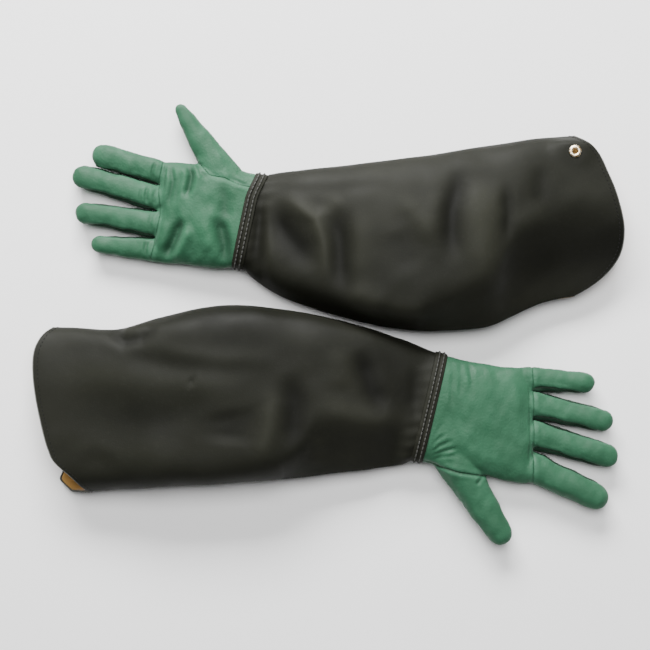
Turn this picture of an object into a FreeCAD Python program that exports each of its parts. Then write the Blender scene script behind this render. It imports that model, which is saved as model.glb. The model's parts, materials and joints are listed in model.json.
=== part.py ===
import FreeCAD, Part
import math
import os
from FreeCAD import Placement, Rotation, Vector

# A pair of long-sleeved beekeeping gloves, lying side by side on a table.
#
# Each glove is a green leather hand sewn to a long black sleeve. The right glove lies palm up with its
# fingers towards -X, and the left glove lies palm down with its fingers towards +X.
#
# All sizes are in millimetres. The row frame has +Z up and its origin on the table, at the middle of
# the pair. Each glove is modelled in its own frame and then set down in the row frame:
#   u runs from the wrist seam towards the fingertips, and the sleeve lies at negative u,
#   v runs across the hand from the thumb side to the little finger side,
#   z is the height above the table.

# ---- Driving dimensions -------------------------------------------------------------------------

LEATHER = 1.2  # thickness of the hand leather and of the sleeve's outer cloth
LINING = 0.8  # thickness of the sleeve lining
PLY_GAP = 0.5  # space between one layer of cloth and the next
HINGE_GAP = 0.5  # clearance on each side of a hinge line
WEDGE_SPARE = 1.5  # degrees that a hinge notch opens beyond the travel it needs
PANEL_SPARE = 0.1  # space between leather panels that meet along a seam

FINGER_FLEX = 75.0  # degrees a finger folds towards the palm
WRIST_FLEX = 50.0  # degrees the hand folds towards the palm
THUMB_IN = 30.0  # degrees the thumb swings towards the index finger
THUMB_OUT = 10.0  # degrees the thumb swings away from it
LIFT = 200.0  # how far the left glove lifts clear of the right one

FLATNESS = 0.78  # a finger's thickness over its width
FINGER_Z = 13.0  # height of the finger centre lines
FOURCHETTE_HALF = 4.0  # half the height of the strip between a finger's front and back
SEAM_RISE = 0.6  # height of the seams over the centre lines of the fingers and the thumb
SEAM_STEP = 1.5  # where a fourchette ends at the fingertip, beside the centre line
THUMB_Z = 15.0
THUMB_STUB = 46.0  # how far the thumb's root reaches back into the hand
THUMB_ROOM = 7.0  # how far beside the thumb's root the hand is cleared for its swing

BAND_LENGTH = 10.0  # the black band at the wrist, along the arm
BAND_ROWS = (2.6, 8.2)  # its two rows of stitching, from the green leather
THREAD = 0.8  # width and height of a row of stitching
WRIST_LIFT = 2.0  # height of the wrist's underside above the table
HAND_LIFT = 0.3  # height of the palm's or back's underside above the table
WRIST_HINGE_BACK = 19.0  # from the wrist seam back to the wrist hinge

HEM_WIDTH = 12.0  # the strip turned in at the sleeve's mouth
HEM_STITCH = 4.5  # from the mouth's edge to its row of stitching

EYELET_BORE = 2.5
EYELET_BARREL = 3.0
EYELET_FLANGE = 6.0
EYELET_SHEET = 0.7
EYELET_ROOM = 8.0  # depth inside the cloth that is kept clear for the clenched washer
WASHER_RADIUS = 5.6

FAR = 900.0  # longer than anything in the pair

# Fingers: where the centre line crosses the knuckle line (v), its heading from +u in degrees, its
# length beyond the knuckle line, and its width at the root and at the tip. A finger has a
# fourchette on each side that faces another finger: +1 is the little finger side.
# Sleeve and hand stations: u, the edge on the thumb side, the edge on the little finger side, height.
# The mouth is a smooth curve through (u, v) points.
GLOVES = {
    "right": {
        "wrist": (-82.3, 103.2),
        "yaw": 180.0,
        "palm": 1,
        "seam_tilt": -12.0,
        "wrist_edges": (-48.0, 47.5),
        "wrist_height": 32.0,
        "knuckles": 90.0,
        "hand": [(30, -55, 47.5, 33), (60, -58, 43.5, 31), (100, -62, 41.5, 25)],
        "fingers": {
            "index": (-49.6, -16.5, 68.0, 24.0, 23.5, (1,)),
            "middle": (-23.4, -16.0, 89.0, 25.6, 22.5, (-1, 1)),
            "ring": (3.2, -9.0, 84.0, 25.4, 21.0, (-1, 1)),
            "little": (29.4, -6.5, 67.0, 23.6, 17.5, (-1,)),
        },
        "thumb": (33.4, -60.0, -57.5, 68.0, 31.5, 13.5),
        "sleeve": [
            (-12, -48, 66, 36),
            (-60, -51.5, 85.4, 46),
            (-115, -57.5, 101.2, 54),
            (-175, -64.5, 110, 58),
            (-240, -75, 105.5, 56),
            (-300, -83.5, 81, 46),
            (-345, -86.5, 74, 40),
            (-400, -88.5, 73, 38),
        ],
        "mouth": [
            (-306, -102),
            (-327, -86),
            (-345, -73),
            (-359, -48),
            (-371, -16),
            (-376.5, 14),
            (-371, 40),
            (-352, 61),
            (-328, 76),
            (-300, 90),
        ],
        "eyelet": (-326.0, -68.0),
    },
    "left": {
        "wrist": (100.7, -83.5),
        "yaw": 0.0,
        "palm": -1,
        "seam_tilt": -13.3,
        "wrist_edges": (-55.0, 54.5),
        "wrist_height": 30.0,
        "knuckles": 106.0,
        "hand": [(35, -63, 47, 32), (72, -73, 41, 29), (116, -80, 39.5, 25)],
        "fingers": {
            "index": (-61.7, -24.5, 80.0, 30.0, 26.0, (1,)),
            "middle": (-28.2, -16.0, 87.0, 28.5, 23.5, (-1, 1)),
            "ring": (2.0, -12.5, 81.0, 26.8, 21.5, (-1, 1)),
            "little": (27.9, -4.0, 61.0, 24.0, 20.0, (-1,)),
        },
        "thumb": (41.0, -78.5, -58.0, 68.0, 35.0, 25.0),
        "sleeve": [
            (-12, -57, 63, 36),
            (-60, -62, 79.2, 46),
            (-130, -70, 95.8, 56),
            (-200, -76, 102.5, 58),
            (-270, -80, 90, 54),
            (-318, -83, 78, 46),
            (-360, -86, 80, 40),
            (-410, -87, 81, 38),
        ],
        "mouth": [
            (-340, 98),
            (-362, 88),
            (-380, 79),
            (-391, 65),
            (-395, 42),
            (-392.5, 14),
            (-387, -14),
            (-380, -40),
            (-369, -64),
            (-350, -84),
            (-330, -98),
        ],
        "eyelet": (-331.0, -64.0),
    },
}


# ---- Small tools --------------------------------------------------------------------------------


def heading(degrees):
    """Unit vector in the plane of the table."""
    angle = math.radians(degrees)
    return Vector(math.cos(angle), math.sin(angle), 0)


def rounded_section(origin, across, v0, v1, z0, z1):
    """A closed upright wire with rounded corners, crossing the glove along `across`."""
    radius = 0.42 * (z1 - z0)
    bow = radius * (1 - math.sqrt(0.5))

    def at(v, z):
        return origin + across * v + Vector(0, 0, z)

    corners = [
        ((v1 - radius, z0), (v1 - bow, z0 + bow), (v1, z0 + radius)),
        ((v1, z1 - radius), (v1 - bow, z1 - bow), (v1 - radius, z1)),
        ((v0 + radius, z1), (v0 + bow, z1 - bow), (v0, z1 - radius)),
        ((v0, z0 + radius), (v0 + bow, z0 + bow), (v0 + radius, z0)),
    ]
    edges = []
    for this, after in zip(corners, corners[1:] + corners[:1]):
        edges.append(Part.Arc(*[at(*point) for point in this]).toShape())
        edges.append(Part.LineSegment(at(*this[2]), at(*after[0])).toShape())
    return Part.Wire(edges)


def prism(points, origin, right, up, depth):
    """A polygon in the plane of right and up, thickened by `depth` each way across that plane."""
    normal = right.cross(up)
    corners = [origin + right * a + up * b - normal * depth for a, b in points]
    face = Part.Face(Part.makePolygon(corners + corners[:1]))
    return face.extrude(normal * (2 * depth))


def slab(z0, z1):
    """Everything between two heights."""
    return Part.makeBox(2 * FAR, 2 * FAR, z1 - z0, Vector(-FAR, -FAR, z0))


def solid_of(shape):
    """The shape's solids as one shape, checked."""
    solids = [s for s in shape.Solids if s.Volume > 0.5]
    if not solids or not all(s.isValid() for s in solids):
        raise ValueError("a solid is missing or not valid")
    return solids[0] if len(solids) == 1 else Part.makeCompound(solids)


# ---- Hinges -------------------------------------------------------------------------------------


def hinges(glove):
    """The hinges of one glove: name, parent, child, centre, axis and range in degrees."""
    g = GLOVES[glove]
    palm = Vector(0, 0, g["palm"])
    arm = heading(g["seam_tilt"])
    wrist_z = WRIST_LIFT + g["wrist_height"] / 2
    found = [
        {
            "name": "wrist_flex",
            "parent": "sleeve",
            "child": "hand",
            "centre": arm * -WRIST_HINGE_BACK + Vector(0, 0, wrist_z),
            "forward": arm,
            "axis": arm.cross(palm),
            "range": (0.0, WRIST_FLEX),
        }
    ]
    for finger, (v, *_) in g["fingers"].items():
        found.append(
            {
                "name": finger + "_flex",
                "parent": "hand",
                "child": finger,
                "centre": Vector(g["knuckles"], v, FINGER_Z),
                "forward": Vector(1, 0, 0),
                "axis": Vector(1, 0, 0).cross(palm),
                "range": (0.0, FINGER_FLEX),
            }
        )
    u, v, angle, *_ = g["thumb"]
    found.append(
        {
            "name": "thumb_swing",
            "parent": "hand",
            "child": "thumb",
            "centre": Vector(u, v, THUMB_Z),
            "forward": heading(angle),
            "axis": Vector(0, 0, 1),
            "range": (-THUMB_OUT, THUMB_IN),
        }
    )
    return {hinge["child"]: hinge for hinge in found}


def notch(hinge, side, depth, reach=60.0):
    """What a hinge takes away from its parent (side -1) or its child (side 1).

    The cut runs along the hinge axis, `reach` to each side of it. It is upright where the travel
    opens the joint, and leans back by half the travel where the travel closes it.
    """
    closing = hinge["axis"].cross(hinge["forward"])
    low, high = hinge["range"]
    lean = {}
    for toward, travel in ((1, high), (-1, -low)):
        half = math.radians(travel / 2 + WEDGE_SPARE) if travel > 0 else 0.0
        lean[toward] = reach * math.tan(half)
    gap = HINGE_GAP * side
    outline = [
        (-FAR * side, reach),
        (gap + side * lean[1], reach),
        (gap, 0),
        (gap + side * lean[-1], -reach),
        (-FAR * side, -reach),
    ]
    return prism(outline, hinge["centre"], hinge["forward"], closing, depth)


# ---- Sleeve -------------------------------------------------------------------------------------


def sleeve_body(g, inset, floor=None):
    """The solid that fills the sleeve, `inset` inside its outer face."""
    wires = []
    for u, v0, v1, height in g["sleeve"]:
        z0 = -2.0 if inset <= 0 else inset
        across = heading(90 + g["seam_tilt"]) if u == g["sleeve"][0][0] else Vector(0, 1, 0)
        origin = Vector(u, 0, 0)
        wires.append(
            rounded_section(origin, across, v0 + inset, v1 - inset, z0, height - inset)
        )
    body = Part.makeLoft(wires, True, False)
    return body.common(slab(0, FAR)) if floor is None else body


def sleeve_face(g):
    """Height of the sleeve's upper face at its eyelet."""
    u = g["eyelet"][0]
    for (u0, _, _, h0), (u1, _, _, h1) in zip(g["sleeve"], g["sleeve"][1:]):
        if u1 <= u <= u0:
            return h0 + (h1 - h0) * (u0 - u) / (u0 - u1)


def mouth_region(g, back):
    """Everything from `back` inside the mouth's curved edge towards the hand."""
    points = [Vector(u + back, v, 0) for u, v in g["mouth"]]
    first, last = points[0], points[-1]
    side = math.copysign(FAR, last.y)
    beyond = [
        last,
        Vector(last.x, side, 0),
        Vector(FAR, side, 0),
        Vector(FAR, -side, 0),
        Vector(first.x, -side, 0),
        first,
    ]
    edge = Part.BSplineCurve()
    edge.interpolate(points)
    edges = [edge.toShape()]
    for this, after in zip(beyond, beyond[1:]):
        edges.append(Part.LineSegment(this, after).toShape())
    face = Part.Face(Part.Wire(edges))
    face.translate(Vector(0, 0, -50))
    return face.extrude(Vector(0, 0, 200))


def sleeve_parts(glove):
    """The outer sleeve, its lining, the hem and its stitching, and the brass eyelet."""
    g = GLOVES[glove]
    wrist_cut = notch(hinges(glove)["hand"], -1, 200)
    rim = mouth_region(g, 0)
    lining_out = LEATHER + PLY_GAP
    lining_in = lining_out + LINING
    hem_out = lining_in + PLY_GAP
    hem_in = hem_out + LEATHER

    outside = sleeve_body(g, 0)
    outer = outside.cut(sleeve_body(g, LEATHER, "open")).common(rim).cut(wrist_cut)
    lining = (
        sleeve_body(g, lining_out, "open")
        .cut(sleeve_body(g, lining_in, "open"))
        .common(mouth_region(g, 1.0))
        .cut(wrist_cut)
    )
    hem = (
        sleeve_body(g, hem_out, "open")
        .cut(sleeve_body(g, hem_in, "open"))
        .common(rim)
        .cut(mouth_region(g, HEM_WIDTH))
    )
    stitching = (
        sleeve_body(g, -PANEL_SPARE - THREAD)
        .cut(sleeve_body(g, -PANEL_SPARE))
        .common(mouth_region(g, HEM_STITCH))
        .cut(mouth_region(g, HEM_STITCH + THREAD))
    )

    u, v = g["eyelet"]
    palm = g["palm"]
    face = sleeve_face(g) if palm > 0 else 0.0
    out = Vector(0, 0, palm)
    hole = Part.makeCylinder(EYELET_BARREL + 0.1, 40, Vector(u, v, face) - out * 20, out)
    outer, lining, hem = outer.cut(hole), lining.cut(hole), hem.cut(hole)
    depth = lining_in + PANEL_SPARE
    eyelet, washer = eyelet_parts(Vector(u, v, face), out, depth)
    seat = Vector(u, v, face) - out * (depth - PANEL_SPARE / 2)
    room = Part.makeCylinder(EYELET_FLANGE + PANEL_SPARE, EYELET_ROOM, seat, -out)
    return {
        "sleeve_outer": outer.cut(room),
        "sleeve_lining": lining.cut(room),
        "mouth_hem": hem,
        "mouth_stitching": stitching,
        "eyelet": eyelet,
        "eyelet_washer": washer,
    }


def eyelet_parts(centre, out, depth):
    """A flanged brass barrel through the cloth, and the washer that it is clenched against.

    Where the sleeve lies on the table the flange sits on the inside and the barrel's clenched end
    is flush with the cloth, so that nothing stands below the table's surface.
    """
    below = out.z < 0
    flange_at = centre + out * (-depth - EYELET_SHEET if below else PANEL_SPARE)
    flange = Part.makeCylinder(EYELET_FLANGE, EYELET_SHEET, flange_at, out)
    length = depth + EYELET_SHEET + (EYELET_SHEET if not below else 0)
    start = flange_at if below else centre - out * (depth + EYELET_SHEET)
    barrel = Part.makeCylinder(EYELET_BARREL, length + PANEL_SPARE * (not below), start, out)
    bore = Part.makeCylinder(EYELET_BORE, 40, centre - out * 20, out)
    eyelet = flange.fuse(barrel).cut(bore)
    washer_at = centre - out * (depth + (2 * EYELET_SHEET + PANEL_SPARE if below else EYELET_SHEET))
    washer = Part.makeCylinder(WASHER_RADIUS, EYELET_SHEET, washer_at, out)
    washer = washer.cut(Part.makeCylinder(EYELET_BARREL + 0.02, 40, centre - out * 20, out))
    return eyelet, washer


# ---- Wrist band ---------------------------------------------------------------------------------


def wrist_ring(g, start, length, inner, outer):
    """A ring round the wrist seam: `start` back from the seam, grown by inner and outer."""
    arm, across = heading(g["seam_tilt"]), heading(90 + g["seam_tilt"])
    v0, v1 = g["wrist_edges"]
    z0, z1 = WRIST_LIFT, WRIST_LIFT + g["wrist_height"]
    faces = []
    for grow in (outer, inner):
        wire = rounded_section(
            arm * -start, across, v0 - grow, v1 + grow, z0 - grow, z1 + grow
        )
        faces.append(Part.Face(wire))
    return faces[0].cut(faces[1]).extrude(arm * -length)


def wrist_parts(glove):
    """The black band that joins the leather hand to the sleeve, and its two rows of stitching."""
    g = GLOVES[glove]
    band = wrist_ring(g, 0, BAND_LENGTH, -LEATHER, 0)
    rows = [
        wrist_ring(g, start, THREAD, PANEL_SPARE, PANEL_SPARE + THREAD)
        for start in BAND_ROWS
    ]
    return {"wrist_band": band, "wrist_stitching": Part.makeCompound(rows)}


# ---- Hand ---------------------------------------------------------------------------------------


def stall(root, direction, start, length, root_width, tip_width, inset):
    """A tapered, flattened finger with a round tip, running from `start` to `length` past root."""
    slope = (tip_width - root_width) / 2 / (length - tip_width / 2)
    tip = tip_width / 2
    shoulder = length - tip
    low = root_width / 2 + slope * start - inset
    high = tip - inset
    profile = [
        Part.LineSegment(Vector(start, 0, 0), Vector(start, low, 0)).toShape(),
        Part.LineSegment(Vector(start, low, 0), Vector(shoulder, high, 0)).toShape(),
        Part.Arc(
            Vector(shoulder, high, 0),
            Vector(shoulder + high * math.sqrt(0.5), high * math.sqrt(0.5), 0),
            Vector(shoulder + high, 0, 0),
        ).toShape(),
        Part.LineSegment(Vector(shoulder + high, 0, 0), Vector(start, 0, 0)).toShape(),
    ]
    body = Part.Face(Part.Wire(profile)).revolve(Vector(0, 0, 0), Vector(1, 0, 0), 360)
    flatten = FreeCAD.Matrix()
    flatten.scale(Vector(1, 1, FLATNESS))
    body = body.transformGeometry(flatten)
    angle = math.degrees(math.atan2(direction.y, direction.x))
    body.Placement = Placement(root, Rotation(Vector(0, 0, 1), angle)).multiply(body.Placement)
    return body


def hollow_stall(root, direction, start, length, root_width, tip_width):
    """The leather shell of a finger or thumb."""
    sizes = (length, root_width, tip_width)
    outside = stall(root, direction, start, *sizes, 0)
    inside = stall(root, direction, start - 1, *sizes, LEATHER)
    return outside.cut(inside)


def below_steps(root, direction, left, middle, right):
    """Everything below a stepped surface that runs along a finger.

    The three heights are measured from the finger's centre line: beside the thumb side of the
    finger, over its middle, and beside its little finger side.
    """
    points = [(FAR, -FAR), (FAR, right)]
    if right != middle:
        points += [(SEAM_STEP, right), (SEAM_STEP, middle)]
    if left != middle:
        points += [(-SEAM_STEP, middle), (-SEAM_STEP, left)]
    points += [(-FAR, left), (-FAR, -FAR)]
    up = Vector(0, 0, 1)
    return prism(points, root, up.cross(direction), up, FAR)


def finger_parts(glove, finger):
    """A finger's front and back panels, and a fourchette beside each neighbouring finger."""
    g = GLOVES[glove]
    v, angle, length, root_width, tip_width, strips = g["fingers"][finger]
    root, direction = Vector(g["knuckles"], v, FINGER_Z), heading(angle)
    shell = hollow_stall(root, direction, -30, length, root_width, tip_width)
    shell = shell.cut(notch(hinges(glove)[finger], 1, 60))
    rise = {side: FOURCHETTE_HALF if side in strips else SEAM_RISE for side in (-1, 1)}
    drop = {side: -FOURCHETTE_HALF if side in strips else SEAM_RISE for side in (-1, 1)}
    top = below_steps(root, direction, rise[-1], SEAM_RISE, rise[1])
    bottom = below_steps(root, direction, drop[-1], SEAM_RISE, drop[1])
    bottom.translate(Vector(0, 0, -PANEL_SPARE))
    upper, lower = shell.cut(top), shell.common(bottom)
    front, back = (upper, lower) if g["palm"] > 0 else (lower, upper)
    made = {finger + "_front": front, finger + "_back": back}
    for side in strips:
        half = FOURCHETTE_HALF - PANEL_SPARE
        near, far = side * SEAM_STEP, side * FAR
        beside = [(near, -half), (far, -half), (far, half), (near, half)]
        up = Vector(0, 0, 1)
        region = prism(beside, root, up.cross(direction), up, FAR)
        neighbour = "little_side" if side > 0 else "thumb_side"
        made[f"{finger}_fourchette_{neighbour}"] = shell.common(region)
    return made


def thumb_parts(glove):
    """The thumb's palm-side and back panels."""
    g = GLOVES[glove]
    u, v, angle, length, root_width, tip_width = g["thumb"]
    root, direction = Vector(u, v, THUMB_Z), heading(angle)
    shell = hollow_stall(root, direction, -30, length, root_width, tip_width)
    shell = shell.cut(notch(hinges(glove)["thumb"], 1, 60))
    seam = THUMB_Z + SEAM_RISE
    upper = shell.common(slab(seam, FAR))
    lower = shell.common(slab(-FAR, seam - PANEL_SPARE))
    front, back = (upper, lower) if g["palm"] > 0 else (lower, upper)
    return {"thumb_front": front, "thumb_back": back}


def hand_parts(glove):
    """The palm and back panels: a flattened tube with the stub of the thumb on its side."""
    g = GLOVES[glove]
    found = hinges(glove)
    u, v, angle, _, root_width, _ = g["thumb"]
    root, direction = Vector(u, v, THUMB_Z), heading(angle)
    bodies = []
    for inset in (0, LEATHER):
        v0, v1 = g["wrist_edges"]
        across = heading(90 + g["seam_tilt"])
        start = heading(g["seam_tilt"]) * (PANEL_SPARE if not inset else -1.0)
        z0, z1 = WRIST_LIFT, WRIST_LIFT + g["wrist_height"]
        wires = [
            rounded_section(
                start, across, v0 + inset, v1 - inset, z0 + inset, z1 - inset
            )
        ]
        for station, edge0, edge1, height in g["hand"]:
            wires.append(
                rounded_section(
                    Vector(station + inset, 0, 0),
                    Vector(0, 1, 0),
                    edge0 + inset,
                    edge1 - inset,
                    HAND_LIFT + inset,
                    height - inset,
                )
            )
        tube = Part.makeLoft(wires, True, False)
        reach = THUMB_STUB
        stub = stall(root, direction, -reach, reach, root_width, root_width, inset)
        bodies.append((tube, stub))
    (tube, stub), (tube_inside, stub_inside) = bodies
    shell = tube.fuse(stub).cut(tube_inside).cut(stub_inside)
    shell = shell.cut(notch(found["thumb"], -1, 60, root_width / 2 + THUMB_ROOM))
    shell = shell.cut(notch(found["middle"], -1, 300))
    seam = THUMB_Z + SEAM_RISE
    upper = shell.common(slab(seam, FAR))
    lower = shell.common(slab(-FAR, seam - PANEL_SPARE))
    palm, back = (upper, lower) if g["palm"] > 0 else (lower, upper)
    return {"palm_panel": palm, "back_panel": back}


# ---- The pair -----------------------------------------------------------------------------------


def glove_bodies(glove):
    """{body: {node: shape in the glove's frame}} for one glove."""
    bodies = {
        "sleeve": sleeve_parts(glove),
        "hand": {**wrist_parts(glove), **hand_parts(glove)},
        "thumb": thumb_parts(glove),
    }
    for finger in GLOVES[glove]["fingers"]:
        bodies[finger] = finger_parts(glove, finger)
    return bodies


def placement(glove):
    """From a glove's own frame to the row frame."""
    g = GLOVES[glove]
    return Placement(Vector(*g["wrist"], 0), Rotation(Vector(0, 0, 1), g["yaw"]))


def main():
    os.makedirs("parts", exist_ok=True)
    box = FreeCAD.BoundBox()
    for glove in GLOVES:
        for body, nodes in glove_bodies(glove).items():
            for name, shape in nodes.items():
                placed = solid_of(shape).copy()
                placed.Placement = placement(glove).multiply(placed.Placement)
                placed.exportStep(f"parts/{glove}_{name}.step")
                box.add(placed.BoundBox)
                print(f"{glove}_{name}: {len(placed.Solids)} solids, {placed.Volume:.0f} mm3")
    print("box", [round(x, 2) for x in (box.XMin, box.XMax, box.YMin, box.YMax, box.ZMin, box.ZMax)])


if __name__ == "__main__":
    main()
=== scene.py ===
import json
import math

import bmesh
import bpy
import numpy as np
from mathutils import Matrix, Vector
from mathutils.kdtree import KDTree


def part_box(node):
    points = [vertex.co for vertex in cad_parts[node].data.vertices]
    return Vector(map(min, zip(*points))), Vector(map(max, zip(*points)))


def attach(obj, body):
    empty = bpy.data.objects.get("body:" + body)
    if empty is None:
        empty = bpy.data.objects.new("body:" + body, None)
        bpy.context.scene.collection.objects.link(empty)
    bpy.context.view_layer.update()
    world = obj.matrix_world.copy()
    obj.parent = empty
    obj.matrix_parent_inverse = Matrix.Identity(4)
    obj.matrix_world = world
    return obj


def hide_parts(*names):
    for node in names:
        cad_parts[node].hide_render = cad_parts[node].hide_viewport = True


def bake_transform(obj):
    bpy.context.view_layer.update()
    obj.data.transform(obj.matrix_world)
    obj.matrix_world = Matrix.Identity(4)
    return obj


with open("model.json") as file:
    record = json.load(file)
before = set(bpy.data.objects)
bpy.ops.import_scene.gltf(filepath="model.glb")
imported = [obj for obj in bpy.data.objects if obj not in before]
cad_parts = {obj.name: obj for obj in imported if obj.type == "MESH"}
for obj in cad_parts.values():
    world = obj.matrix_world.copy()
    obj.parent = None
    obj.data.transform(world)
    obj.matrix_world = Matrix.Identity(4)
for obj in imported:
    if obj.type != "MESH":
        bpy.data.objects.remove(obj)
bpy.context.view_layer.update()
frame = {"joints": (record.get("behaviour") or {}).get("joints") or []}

# The looks of a pair of long-sleeved beekeeping gloves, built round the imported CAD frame.
#
# Lengths are in millimetres in each glove's own frame, as in the CAD source, and become metres in
# the row frame when a mesh is made:
#   u runs from the wrist seam towards the fingertips, and the sleeve lies at negative u,
#   v runs across the hand from the thumb side to the little finger side,
#   z is the height above the table.

MM = 0.001

# ---- Dimensions ---------------------------------------------------------------------------------

LEATHER = 1.2
SLEEVE_CLOTH = 1.1
LINING = 0.7
PLY_GAP = 0.35
FLATNESS = 0.78
FINGER_Z = 13.0
THUMB_Z = 15.0
FOURCHETTE_HALF = 4.0
SEAM_RISE = 0.6
FULLER = 0.6  # what relaxing the skin takes off a finger's length and widths
VOXEL = 1.1
FOLD_EASE = 1.03  # how much more cloth a sleeve has with its folds than it would have smooth
FLOOR_HALF = 6.0
FLOOR_Z = -0.0006
BACKDROP_RADIUS = 5.6
BACKDROP_HEIGHT = 1.3
LENS = 100.0
SENSOR = 36.0
VIEW_WIDTH = 0.650

GLOVES = {
    "right": {
        "palm": 1,
        "turn": -1,
        "seam_tilt": -12.0,
        "wrist": (-48.0, 47.5, 2.0, 34.0),
        "knuckles": 90.0,
        "hand": [(30, -55, 47.5, 33), (60, -58, 43.5, 31), (100, -62, 41.5, 25)],
        "fingers": {
            "index": (-49.6, -16.5, 68.0, 24.0, 23.5, (1,)),
            "middle": (-23.4, -16.0, 89.0, 25.6, 22.5, (-1, 1)),
            "ring": (3.2, -9.0, 84.0, 25.4, 21.0, (-1, 1)),
            "little": (29.4, -6.5, 67.0, 23.6, 17.5, (-1,)),
        },
        "thumb": (33.4, -60.0, -57.5, 68.0, 31.5, 13.5),
        "thumb_seam_up": [(-12, -31), (7, -36), (22, -42.5), (37, -45.5), (46.7, -56.8)],
        "thumb_seam_down": [(-12, -46), (12, -52), (30, -55.5), (40, -56.5), (46.7, -56.8)],
        "edge_thumb": [
            (10, -49), (-10, -47.5), (-20, -46.8), (-36, -49.3), (-60, -51.5), (-115, -57.5),
            (-175, -64.5), (-240, -75), (-300, -83.5), (-345, -86.5), (-400, -88.5),
        ],
        "edge_little": [
            (12, 44), (4, 48.5), (-4, 55.5), (-13, 63), (-23, 69.5), (-36, 76.5), (-60, 85.4),
            (-115, 101.2), (-175, 110), (-240, 105.5), (-300, 81), (-345, 74), (-400, 73),
        ],
        "height": [
            (12, 33), (-10, 34), (-24, 37), (-60, 46), (-115, 54), (-175, 58), (-240, 56),
            (-300, 46), (-345, 40), (-400, 38),
        ],
        "mouth": [
            (-306, -102), (-327, -86), (-345, -73), (-359, -48), (-371, -16), (-376.5, 14),
            (-371, 40), (-352, 61), (-328, 76), (-300, 90),
        ],
        "eyelet": (-326.0, -68.0),
        "bow": 5.0,
        "base_seam": [(-64, 83), (-50, 86), (-36, 88.5), (-11, 87), (14, 91), (40, 97)],
        "web": [(-64, 84), (-36, 88), (-10, 86), (16, 93), (42, 95)],
        "crest": [
            (-14, 58), (-25, 66), (-60, 78), (-90, 88), (-125, 98), (-160, 102), (-190, 84),
            (-225, 66), (-238, 62), (-250, 51), (-262, 27), (-280, 10), (-300, 0), (-318, -9),
            (-345, -8), (-380, -5),
        ],
        "light_side": [(0, 2.6), (-40, 2.4), (-230, 2.6), (-310, 4.2), (-380, 4.5)],
        "dark_side": [(0, 2.6), (-25, 5.0), (-180, 6.5), (-250, 3.2), (-380, 2.6)],
    },
    "left": {
        "palm": -1,
        "turn": 1,
        "seam_tilt": -13.3,
        "wrist": (-55.0, 54.5, 2.0, 32.0),
        "knuckles": 106.0,
        "hand": [(35, -63, 47, 32), (72, -73, 41, 29), (116, -80, 39.5, 25)],
        "fingers": {
            "index": (-61.7, -24.5, 80.0, 30.0, 26.0, (1,)),
            "middle": (-28.2, -16.0, 87.0, 28.5, 23.5, (-1, 1)),
            "ring": (2.0, -12.5, 81.0, 26.8, 21.5, (-1, 1)),
            "little": (27.9, -4.0, 61.0, 24.0, 20.0, (-1,)),
        },
        "thumb": (41.0, -78.5, -58.0, 68.0, 35.0, 25.0),
        "thumb_seam_up": [(-16, -49), (10, -59.5), (30, -65), (48, -67.5), (60, -69.5)],
        "thumb_seam_down": [(-12, -36), (15, -43), (30, -49), (46, -56), (60, -69.5)],
        "edge_thumb": [
            (12, -57), (-14, -56), (-24, -57.5), (-60, -62), (-130, -70), (-200, -76),
            (-270, -80), (-318, -83), (-360, -86), (-410, -87),
        ],
        "edge_little": [
            (14, 52), (2, 56), (-10, 61.5), (-22, 66.5), (-36, 71), (-60, 79.2), (-130, 95.8),
            (-200, 102.5), (-270, 90), (-318, 78), (-360, 80), (-410, 81),
        ],
        "height": [
            (12, 31), (-10, 32), (-24, 36), (-60, 46), (-130, 56), (-200, 58), (-270, 54),
            (-318, 46), (-360, 40), (-410, 38),
        ],
        "mouth": [
            (-340, 98), (-362, 88), (-380, 79), (-391, 65), (-395, 42), (-392.5, 14),
            (-387, -14), (-380, -40), (-369, -64), (-350, -84), (-330, -98),
        ],
        "eyelet": (-331.0, -64.0),
        "bow": 0.0,
        "base_seam": [(-84, 103.5), (-20, 104.5), (44, 103.5)],
        "web": [(-84, 103), (-43, 105), (-11, 103), (26, 102), (44, 101)],
        "crest": [
            (-8, -13), (-60, -16), (-90, -13), (-108, -12), (-128, -40), (-152, -70), (-400, -84),
        ],
        "light_side": [(0, 3.2), (-30, 5.5), (-110, 8.0), (-260, 8.0), (-330, 3.4), (-400, 3.2)],
        "dark_side": [(0, 2.6), (-60, 3.2), (-160, 6.5), (-400, 8.0)],
    },
}
FINGERS = ("index", "middle", "ring", "little")

# ---- Small tools --------------------------------------------------------------------------------


def joint(name):
    return next(j for j in frame["joints"] if j["name"] == name)


def origin_of(glove):
    """Where the wrist seam's middle is, from the middle finger's hinge."""
    g = GLOVES[glove]
    hinge = joint(f"{glove}_middle_flex")["pos_m"]
    v = g["fingers"]["middle"][0]
    return np.array([hinge[0] / MM - g["turn"] * g["knuckles"], hinge[1] / MM - g["turn"] * v, 0.0])


def to_row(glove, points):
    """Glove frame in mm to row frame in m."""
    p = np.asarray(points, float).reshape(-1, 3)
    turn = GLOVES[glove]["turn"]
    return (p * (turn, turn, 1) + origin_of(glove)) * MM


def smooth(t):
    t = np.clip(t, 0, 1)
    return t * t * (3 - 2 * t)


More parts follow.
